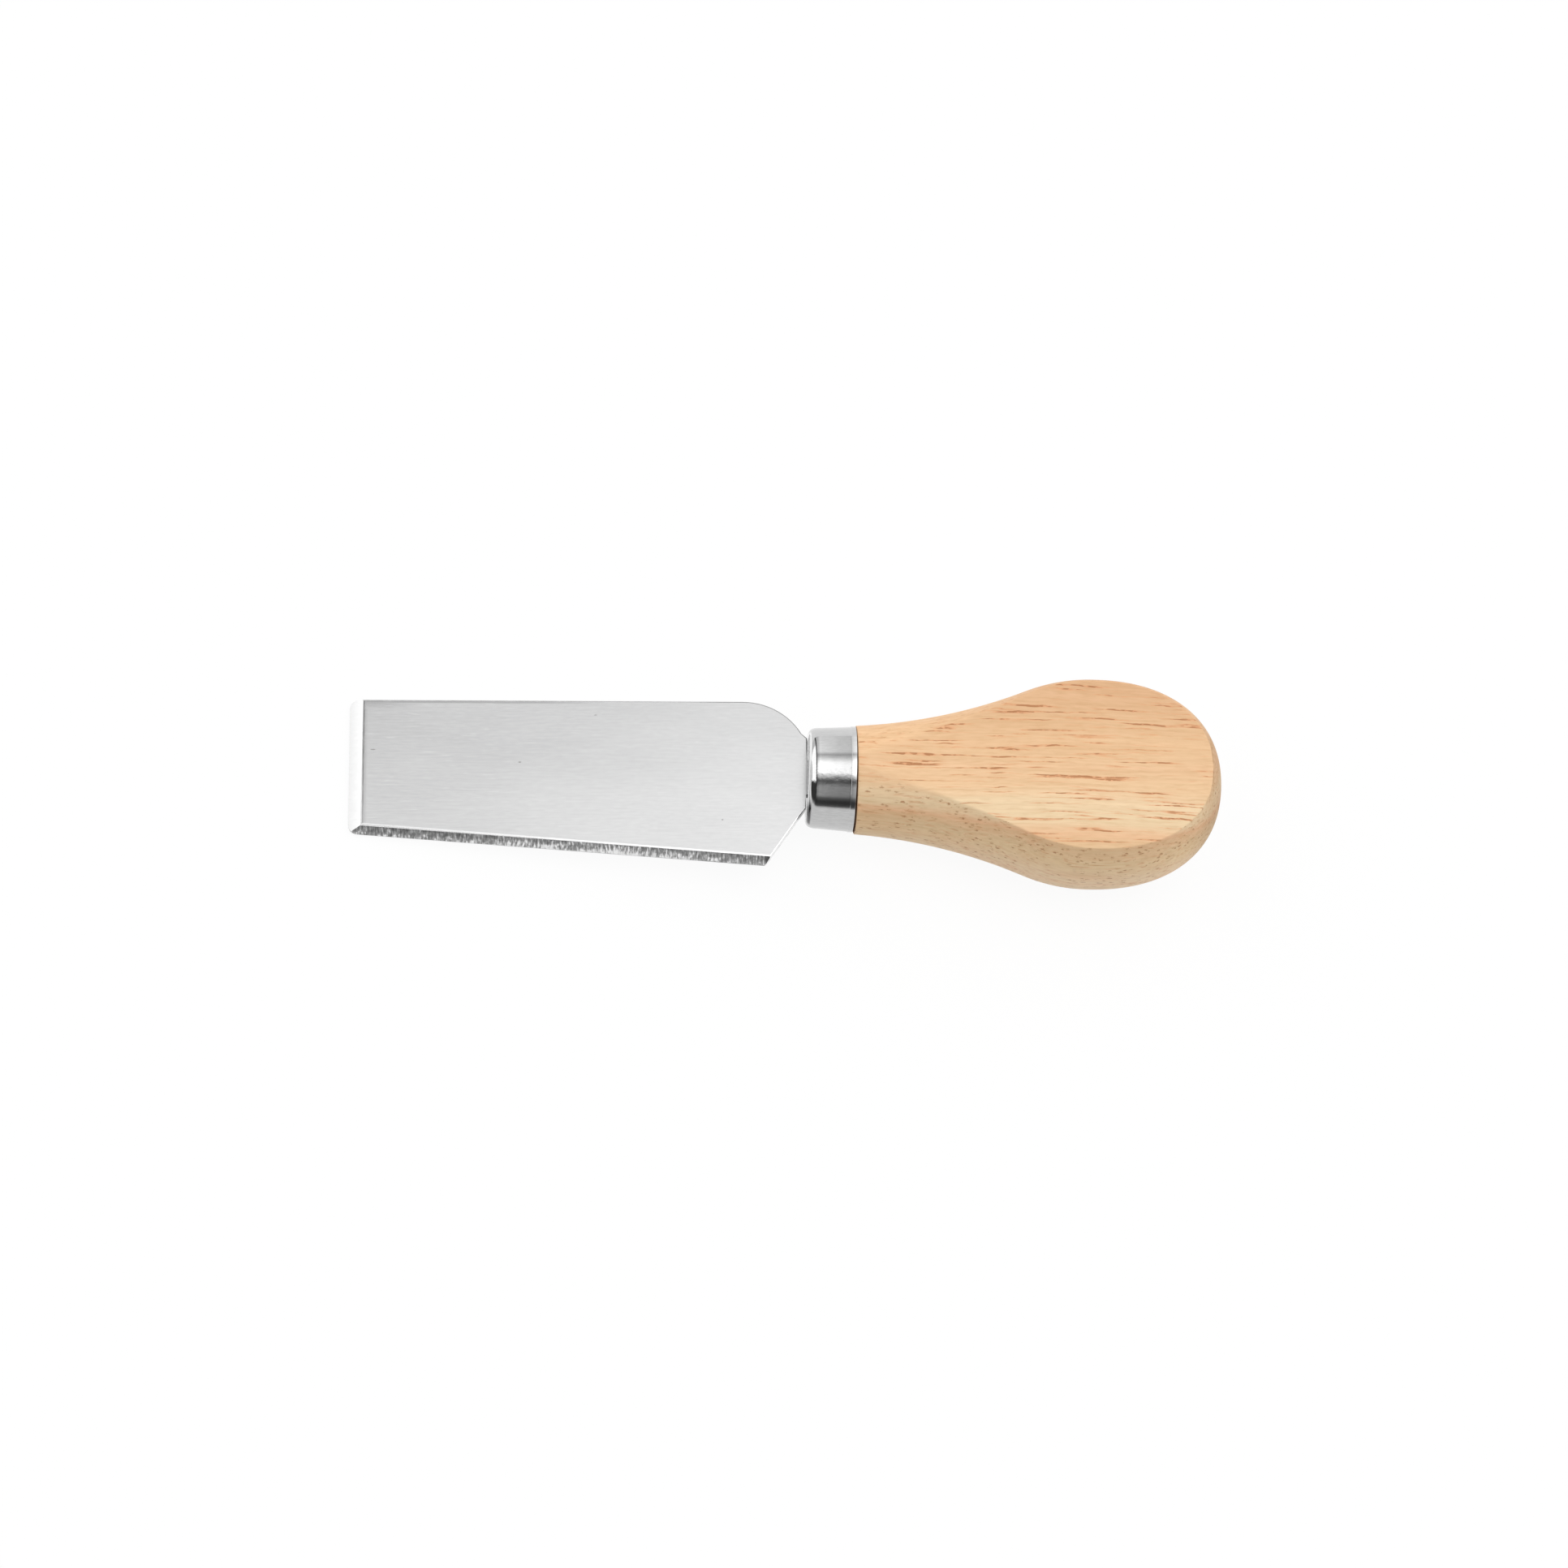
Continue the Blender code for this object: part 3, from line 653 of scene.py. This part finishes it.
def make_blade(knife):
    """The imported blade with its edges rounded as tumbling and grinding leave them."""
    matrix = knife @ Matrix.Rotation(BLADE_LEAN, 4, "Z")
    bm = bmesh.new()
    bm.from_mesh(frame["nodes"]["blade"].data)
    bmesh.ops.transform(bm, matrix=matrix.inverted(), verts=bm.verts)
    bmesh.ops.remove_doubles(bm, verts=bm.verts, dist=WELD_DISTANCE)
    bmesh.ops.dissolve_limit(bm, angle_limit=LEVEL_ANGLE, verts=bm.verts, edges=bm.edges)
    seat_shoulder(bm)
    bm.normal_update()
    for face in bm.faces:
        face.material_index = face_kind(face)
    rims = edges_between(bm, FLAT, EDGE) + edges_between(bm, FLAT, HEEL_CUT)
    made = bmesh.ops.bevel(bm, geom=rims, offset=RIM_ROUND, segments=RIM_STEPS, profile=0.5,
                           affect="EDGES", clamp_overlap=True)
    for face in made["faces"]:
        face.normal_update()
        face.material_index = HEEL_CUT if faces_heel(face.normal, HEEL_RIM_FACING) else EDGE
    round_ridges(bm)
    kinds = (flat_steel, front_grind_steel, lower_grind_steel, edge_steel, heel_cut_steel,
             ridge_steel, front_ridge_steel)
    materials = [kind(matrix) for kind in kinds]
    blade = piece_from(bm, "blade_steel", materials, matrix)
    even = blade.modifiers.new("even_shading", "WEIGHTED_NORMAL")
    even.keep_sharp = True
    dress(blade, "blade")


# Ferrule

def ferrule_radius(x):
    """Outer radius of the ferrule at a distance behind its front face."""
    widening = (FERRULE_MOUTH_RADIUS - FERRULE_FRONT_RADIUS) / FERRULE_LENGTH
    return FERRULE_FRONT_RADIUS + widening * x


def drawn_edge(inset):
    """Quarter superellipse round the front of the cup, on its outer face or inset by the wall."""
    centre_y = ferrule_radius(FERRULE_EDGE_LENGTH) - FERRULE_EDGE_DEPTH
    power = 2 / FERRULE_EDGE_POWER
    points = []
    for i in range(FERRULE_EDGE_STEPS + 1):
        angle = math.pi / 2 * i / FERRULE_EDGE_STEPS
        along = (FERRULE_EDGE_LENGTH - inset) * abs(math.cos(angle)) ** power
        across = (FERRULE_EDGE_DEPTH - inset) * math.sin(angle) ** power
        points.append(Vector((FERRULE_EDGE_LENGTH - along, centre_y + across)))
    return points


def lip():
    """Rise from the cup's wall to the band at its mouth: a gentle run, a bend and the band."""
    first_x = FERRULE_LENGTH - FERRULE_LIP_LENGTH
    points = []
    for i in range(LIP_STEPS + 1):
        run = FERRULE_LIP_STEP * i / LIP_STEPS
        points.append(Vector((first_x + run, ferrule_radius(first_x) + run * math.tan(LIP_SLOPE))))
    band_x = first_x + FERRULE_LIP_STEP * LIP_BEND
    points.append(Vector((band_x, ferrule_radius(band_x) + FERRULE_LIP_HEIGHT)))
    mouth_radius = FERRULE_MOUTH_RADIUS + FERRULE_LIP_HEIGHT
    centre = (FERRULE_LENGTH + MOUTH_REACH - MOUTH_ROUND, mouth_radius - MOUTH_ROUND)
    points += arc(centre, MOUTH_ROUND, math.pi / 2, 0, LIP_STEPS)
    return points


def ferrule_profile():
    """Section of the cup's wall, from the axis at the front, round the mouth and back inside."""
    points = [Vector((0, 0))] + drawn_edge(0) + lip()
    points.append(Vector((FERRULE_LENGTH + MOUTH_REACH, FERRULE_MOUTH_RADIUS - FERRULE_WALL)))
    points += reversed(drawn_edge(FERRULE_WALL))
    points.append(Vector((FERRULE_WALL, 0)))
    return points


def slot_cutter(matrix):
    """Cutter for the slot that the tang passes through, with rounded corners."""
    length = 4 * FERRULE_WALL         # stands well clear of both faces of the wall
    size = (length, TANG_WIDTH + 2 * SIDE_CLEARANCE, BLADE_THICKNESS + 2 * SIDE_CLEARANCE)
    bm = bmesh.new()
    bmesh.ops.create_cube(bm, size=1.0)
    bmesh.ops.scale(bm, verts=bm.verts, vec=size)
    along_x = [edge for edge in bm.edges
               if abs(edge.verts[0].co.x - edge.verts[1].co.x) > length / 2]
    bmesh.ops.bevel(bm, geom=along_x, offset=SLOT_CORNER_RADIUS, segments=SLOT_CORNER_STEPS,
                    profile=0.5, affect="EDGES")
    place = Matrix.Translation((FERRULE_WALL / 2, -FERRULE_DRIFT, 0))
    return piece_from(bm, "slot_cutter", [], matrix @ place)


def make_ferrule(knife):
    """Drawn cup with its slot."""
    mouth = Matrix.Translation((FERRULE_LENGTH, FERRULE_DRIFT, 0))
    lean = mouth @ Matrix.Rotation(FERRULE_LEAN, 4, "Z")
    matrix = knife @ lean @ Matrix.Translation((-FERRULE_LENGTH, 0, 0))
    bm = bmesh.new()
    points = [bm.verts.new((p.x, p.y, 0)) for p in ferrule_profile()]
    edges = [bm.edges.new(pair) for pair in zip(points, points[1:])]
    bmesh.ops.spin(bm, geom=points + edges, cent=(0, 0, 0), axis=(1, 0, 0), angle=2 * math.pi,
                   steps=FERRULE_STEPS, use_merge=True)
    bmesh.ops.remove_doubles(bm, verts=bm.verts, dist=MERGE_DISTANCE)
    bmesh.ops.recalc_face_normals(bm, faces=bm.faces)
    ferrule = piece_from(bm, "ferrule_steel", [ferrule_steel(matrix)], matrix)

    cutter = slot_cutter(matrix)
    slot = ferrule.modifiers.new("slot", "BOOLEAN")
    slot.operation = "DIFFERENCE"
    slot.solver = "EXACT"
    slot.object = cutter
    bpy.context.view_layer.update()
    ready = ferrule.evaluated_get(bpy.context.evaluated_depsgraph_get())
    cut_mesh = bpy.data.meshes.new_from_object(ready)
    ferrule.modifiers.clear()
    ferrule.data = cut_mesh
    bpy.data.objects.remove(cutter)
    dress(ferrule, "ferrule")


# Handle

def rounded_corner(before, corner, after, radius, steps):
    """Replaces a corner of an outline by an arc that touches both of its sides."""
    to_before = (before - corner).normalized()
    to_after = (after - corner).normalized()
    half_angle = to_before.angle(to_after) / 2
    centre = corner + (to_before + to_after).normalized() * radius / math.sin(half_angle)
    touch = radius / math.tan(half_angle)
    first = corner + to_before * touch - centre
    last = corner + to_after * touch - centre
    start = math.atan2(first.y, first.x)
    return arc(centre, radius, start, start - first.angle_signed(last), steps)


def neck_and_belly():
    """Turned profile from the shoulder to the thickest place: a hollow arc and a full one."""
    lean = math.atan(NECK_SLOPE)
    hollow_y = NECK_RADIUS + NECK_ARC_RADIUS * math.cos(lean)
    hollow = Vector((-NECK_ARC_RADIUS * math.sin(lean), hollow_y))
    run = BELLY_FROM_SHOULDER - hollow.x
    drop = BELLY_RADIUS - hollow.y
    full_radius = (run ** 2 + drop ** 2 - NECK_ARC_RADIUS ** 2) / (2 * (NECK_ARC_RADIUS + drop))
    full = Vector((BELLY_FROM_SHOULDER, BELLY_RADIUS - full_radius))
    to_full = full - hollow
    meeting = math.atan2(to_full.y, to_full.x)
    points = arc(hollow, NECK_ARC_RADIUS, lean - math.pi / 2, meeting, NECK_STEPS)
    points += arc(full, full_radius, meeting + math.pi, math.pi / 2, BELLY_STEPS)[1:]
    return points


def butt():
    """Turned profile from the thickest place to the end of the handle, a quarter superellipse."""
    length = HANDLE_LENGTH - BELLY_FROM_SHOULDER
    power = 2 / BUTT_POWER
    points = []
    for i in range(1, BUTT_STEPS):
        angle = math.pi / 2 * i / BUTT_STEPS
        x = BELLY_FROM_SHOULDER + length * math.sin(angle) ** power
        points.append(Vector((x, BELLY_RADIUS * math.cos(angle) ** power)))
    points.append(Vector((HANDLE_LENGTH, 0)))
    return points


def inner_profile():
    """Profile of the bore and the spigot, from the bore's point to the foot of the shoulder."""
    shoulder = FERRULE_LENGTH + SEAT_GAP
    spigot_front = FERRULE_WALL + SEAT_GAP - shoulder
    inner_wall = FERRULE_WALL + SIDE_CLEARANCE + FERRULE_DRIFT
    spigot_nose = ferrule_radius(FERRULE_EDGE_LENGTH) - inner_wall
    drift = (TANG_LENGTH - TANG_TAPER_LENGTH) * math.sin(abs(BLADE_LEAN))
    bore = math.hypot(TANG_WIDTH / 2 + drift, BLADE_THICKNESS / 2) + SIDE_CLEARANCE
    bore_end = TANG_LENGTH - SEAT_GAP + BORE_RUN_OUT - shoulder
    bore_point = bore_end + bore / math.tan(DRILL_POINT_ANGLE / 2)
    return [
        Vector((bore_point, 0)),
        Vector((bore_end, bore)),
        Vector((spigot_front, bore)),
        Vector((spigot_front, spigot_nose - SPIGOT_CHAMFER)),
        Vector((spigot_front + SPIGOT_CHAMFER, spigot_nose)),
        Vector((0, FERRULE_MOUTH_RADIUS - inner_wall)),
    ]


def edge_depth(radius):
    """How deep a fillet of unit radius cuts into the edge between a flat and the turned side."""
    turn = math.acos(BOARD_THICKNESS / 2 / radius)
    return 1 / math.cos(turn / 2) - 1


def edge_radius(radius):
    """Fillet of a flat's edge, wide at the neck, as sanding cuts to the same depth all along."""
    if radius <= BOARD_THICKNESS / 2:
        return min(FLAT_EDGE_RADIUS, radius)
    return min(FLAT_EDGE_RADIUS * edge_depth(BELLY_RADIUS) / edge_depth(radius), FLAT_EDGE_MOST)


def section(x, radius):
    """One section of the handle: a circle cut by the two flats, with its corners sanded round."""
    flat = BOARD_THICKNESS / 2
    corner = edge_radius(radius)
    centre_z = min(flat, radius) - corner
    centre_y = math.sqrt(max((radius - corner) ** 2 - centre_z ** 2, 0))
    turn = math.atan2(centre_z, centre_y) if centre_y > 0 else math.pi / 2
    quarter = arc((0, 0), radius, 0, turn, SIDE_STEPS)
    quarter += arc((centre_y, centre_z), corner, turn, math.pi / 2, FLAT_EDGE_STEPS)[1:]
    upper = quarter + [Vector((-p.x, p.y)) for p in reversed(quarter)]
    lower = [Vector((-p.x, -p.y)) for p in upper[1:-1]]
    return [(x, p.x, p.y) for p in upper + lower]


def make_handle(knife):
    """Handle with its spigot and bore, lofted through the sections of its turned profile."""
    shoulder = FERRULE_LENGTH + SEAT_GAP
    inside = inner_profile()
    turned = neck_and_belly() + butt()
    foot = rounded_corner(inside[-1], turned[0], turned[1], SHOULDER_EDGE_RADIUS,
                          SHOULDER_EDGE_STEPS)
    bm = bmesh.new()
    rings = []
    for point in inside + foot + turned[1:]:
        rings.append([bm.verts.new(place) for place in section(point.x + shoulder, point.y)])
    for k, (ring, following) in enumerate(zip(rings, rings[1:])):
        for i in range(len(ring)):
            j = (i + 1) % len(ring)
            face = bm.faces.new((ring[i], ring[j], following[j], following[i]))
            face.material_index = 1 if k < len(inside) else 0
    bmesh.ops.remove_doubles(bm, verts=bm.verts, dist=MERGE_DISTANCE)
    bmesh.ops.recalc_face_normals(bm, faces=bm.faces)
    handle = piece_from(bm, "handle_wood", [wood(knife), joint_wood(knife)], knife)
    even = handle.modifiers.new("even_shading", "WEIGHTED_NORMAL")
    even.keep_sharp = True
    dress(handle, "handle")


# Studio

def make_camera(knife):
    """Camera at the photo's viewing angle."""
    back = Vector((-math.sin(LOOK_FROM_FRONT),
                   -math.sin(LOOK_FROM_BELOW) * math.cos(LOOK_FROM_FRONT),
                   math.cos(LOOK_FROM_BELOW) * math.cos(LOOK_FROM_FRONT)))
    right = Vector((0, 1, 0)).cross(back).normalized()
    level = Matrix((right, back.cross(right), back)).transposed()
    turn = (level @ Matrix.Rotation(CAMERA_ROLL, 3, "Z")).to_4x4()
    data = bpy.data.cameras.new("camera")
    data.lens = LENS
    data.sensor_width = SENSOR
    data.clip_start = CLIP_START
    data.clip_end = CLIP_END
    camera = bpy.data.objects.new("camera", data)
    bpy.context.scene.collection.objects.link(camera)
    camera.matrix_world = knife @ Matrix.Translation(TARGET + back * CAMERA_DISTANCE) @ turn
    bpy.context.scene.camera = camera


def seen_directly(tree):
    """1 for rays from the camera, from mirrors and through glass, 0 for the light on the object."""
    path = node(tree, "ShaderNodeLightPath", {}).outputs
    direct = calc(tree, "MAXIMUM", path["Is Camera Ray"], path["Is Glossy Ray"])
    return calc(tree, "MAXIMUM", direct, path["Is Transmission Ray"])


def make_floor():
    """Plain white floor that keeps a soft shadow."""
    bm = bmesh.new()
    bmesh.ops.create_grid(bm, x_segments=1, y_segments=1, size=FLOOR_SIZE / 2)
    floor = piece_from(bm, "floor", [], Matrix.Identity(4))
    material = bpy.data.materials.new("floor_white")
    material.use_nodes = True
    tree = material.node_tree
    tree.nodes.clear()
    paper = node(tree, "ShaderNodeBsdfDiffuse", {"Color": grey(FLOOR_WHITE)}).outputs[0]
    white = node(tree, "ShaderNodeEmission", {"Color": grey(1.0), "Strength": 1.0}).outputs[0]
    share = times(tree, seen_directly(tree), FLOOR_GLOW)
    mixed = node(tree, "ShaderNodeMixShader", {0: share, 1: paper, 2: white}).outputs[0]
    node(tree, "ShaderNodeOutputMaterial", {"Surface": mixed})
    floor.data.materials.append(material)


# Light from round the knife, by its angle about the handle: 0 towards the spine, 90 up
MAIN_LIGHT = [
    (0, 0.90),
    (43, 1.12),
    (49, 1.12),
    (55, 0.66),
    (58, 0.68),
    (64, 1.08),
    (68, 1.34),
    (72, 1.71),
    (77, 2.12),
    (98, 2.10),
    (102, 1.40),
    (108, 0.80),
    (113, 0.28),
    (119, 0.14),
    (132, 0.46),
    (151, 0.46),
    (157, 0.17),
    (165, 0.04),
    (175, 0.07),
]

# Light from the side of the blade's front, where a second lamp stands
FRONT_LIGHT = [
    (0, 0.74),
    (25, 0.74),
    (32, 1.65),
    (118, 1.65),
    (123, 0.05),
    (168, 0.05),
    (176, 0.50),
]

# Along the handle the light goes by the X of its direction, which is -1 straight ahead of the blade
MAIN_SLOPE = (-0.12, 0.12, 0.72, 1.25)   # two places, and shares of the main lamp's light there
LAMP_GAP = 0.25              # how far ahead the gap between the two lamps lies
LAMP_SWITCH = 0.02           # run over which the front lamp takes over
LAMP_GAP_EDGE = 0.065        # where its dark begins on either side
LAMP_GAP_DARK = 0.035        # and where it is full
LAMP_GAP_LIGHT = 0.04
PLAIN_ENDS = [               # where an end of the room begins and is full, and its light
    (-0.88, -0.92, 0.03),
    (-0.93, -0.96, 0.55),
    (0.50, 0.75, 1.0),
]


def light_round(tree, angle, stops):
    """Light by the angle about the handle, in radians."""
    share = calc(tree, "MULTIPLY_ADD", angle, 1 / (2 * math.pi), 0.5)
    places = [((degrees + 180) / 360, grey(light)) for degrees, light in stops]
    return ramp(tree, share, places)


def make_room(knife):
    """White studio with two wide soft lamps and a dark gap between them, white to the camera."""
    world = bpy.data.worlds.new("studio")
    world.use_nodes = True
    bpy.context.scene.world = world
    tree = world.node_tree
    tree.nodes.clear()
    direction = node(tree, "ShaderNodeTexCoord", {}).outputs["Generated"]
    inputs = {"Vector": direction, "Rotation": tuple(knife.inverted().to_euler())}
    turned = node(tree, "ShaderNodeMapping", inputs).outputs[0]
    x, y, z = axes_of(tree, turned)
    angle = calc(tree, "ARCTAN2", z, y)
    main = light_round(tree, angle, MAIN_LIGHT)
    main = blend(tree, 1.0, main, rise(tree, x, *MAIN_SLOPE), "MULTIPLY")
    front = light_round(tree, angle, FRONT_LIGHT)
    light = blend(tree, rise(tree, x, -LAMP_GAP, -LAMP_GAP - LAMP_SWITCH), main, front)
    for start, full, level in PLAIN_ENDS:
        light = blend(tree, rise(tree, x, start, full), light, grey(level))
    away = calc(tree, "ABSOLUTE", calc(tree, "ADD", x, LAMP_GAP))
    gap = rise(tree, away, LAMP_GAP_EDGE, LAMP_GAP_DARK)
    light = blend(tree, gap, light, grey(LAMP_GAP_LIGHT))
    studio = node(tree, "ShaderNodeBackground", {"Color": light, "Strength": 1.0}).outputs[0]
    white = node(tree, "ShaderNodeBackground", {"Color": grey(1.0), "Strength": 1.0}).outputs[0]
    camera_ray = node(tree, "ShaderNodeLightPath", {}).outputs["Is Camera Ray"]
    mixed = node(tree, "ShaderNodeMixShader", {0: camera_ray, 1: studio, 2: white}).outputs[0]
    node(tree, "ShaderNodeOutputWorld", {"Surface": mixed})


def main():
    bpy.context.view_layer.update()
    knife = knife_frame()
    make_blade(knife)
    make_ferrule(knife)
    make_handle(knife)
    make_floor()
    make_room(knife)
    make_camera(knife)
    bpy.context.scene.view_settings.view_transform = "Standard"
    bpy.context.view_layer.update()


main()
